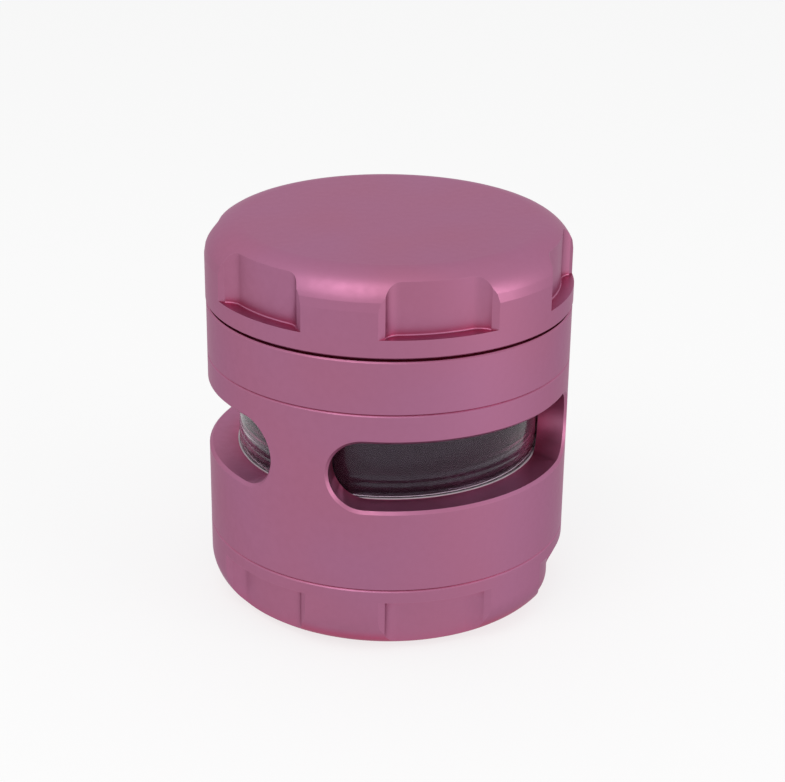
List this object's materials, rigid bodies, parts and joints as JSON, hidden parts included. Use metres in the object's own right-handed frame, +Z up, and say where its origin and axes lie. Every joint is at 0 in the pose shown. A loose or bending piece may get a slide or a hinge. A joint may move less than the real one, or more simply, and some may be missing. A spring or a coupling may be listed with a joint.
{
  "type": "herb grinder",
  "caption": "Round hand grinder in pink anodised aluminium with a turning toothed lid, a windowed body around a glass tube, a screen and a screw-on base cup.",
  "frame": {"origin": "centre of the flat foot of the base cup", "axes": "+Z up along the turning axis, -Y towards the middle of one window"},
  "size_m": [0.063, 0.063, 0.0668],
  "materials": {
    "anodised_aluminium": "bead-blasted, pink anodised, satin",
    "clear_glass": "clear, fire-polished ends",
    "silicone": "translucent white, satin",
    "stainless_steel": "woven wire and rolled strip",
    "nickel_plate": "bright nickel plate",
    "polymer": "smooth, slippery"
  },
  "bodies": {
    "base": {"base": "anodised_aluminium"},
    "base_seal": {"base_gasket": "silicone"},
    "body": {"window_body": "anodised_aluminium", "screen_frame": "stainless_steel", "screen_mesh": "stainless_steel", "lower_glass_gasket": "silicone", "glass_tube": "clear_glass"},
    "chamber_seal": {"upper_glass_gasket": "silicone"},
    "chamber": {"grinding_chamber": "anodised_aluminium", "chamber_teeth": "anodised_aluminium", "chamber_magnet": "nickel_plate"},
    "lid_bearing": {"friction_ring": "polymer"},
    "lid": {"lid": "anodised_aluminium", "lid_teeth": "anodised_aluminium", "lid_magnet": "nickel_plate"}
  },
  "joints": [
    {"name": "body_turn", "type": "hinge", "parent": "base", "child": "base_seal", "pos_m": [0, 0, 0.0122], "axis": [0, 0, 1], "range_deg": [0, 1440]},
    {"name": "body_rise", "type": "slide", "parent": "base_seal", "child": "body", "axis": [0, 0, 1], "range_m": [0, 0.0061]},
    {"name": "chamber_turn", "type": "hinge", "parent": "body", "child": "chamber_seal", "pos_m": [0, 0, 0.04365], "axis": [0, 0, 1], "range_deg": [0, 900]},
    {"name": "chamber_rise", "type": "slide", "parent": "chamber_seal", "child": "chamber", "axis": [0, 0, 1], "range_m": [0, 0.0038]},
    {"name": "lid_turn", "type": "hinge", "parent": "chamber", "child": "lid_bearing", "pos_m": [0, 0, 0.05285], "axis": [0, 0, 1], "continuous": true},
    {"name": "lid_lift", "type": "slide", "parent": "lid_bearing", "child": "lid", "axis": [0, 0, 1], "range_m": [0, 0.03]}
  ],
  "couplings": [
    {"joint": "body_rise", "follows": "body_turn", "m_per_rad": 0.00023873},
    {"joint": "chamber_rise", "follows": "chamber_turn", "m_per_rad": 0.00023873}
  ]
}
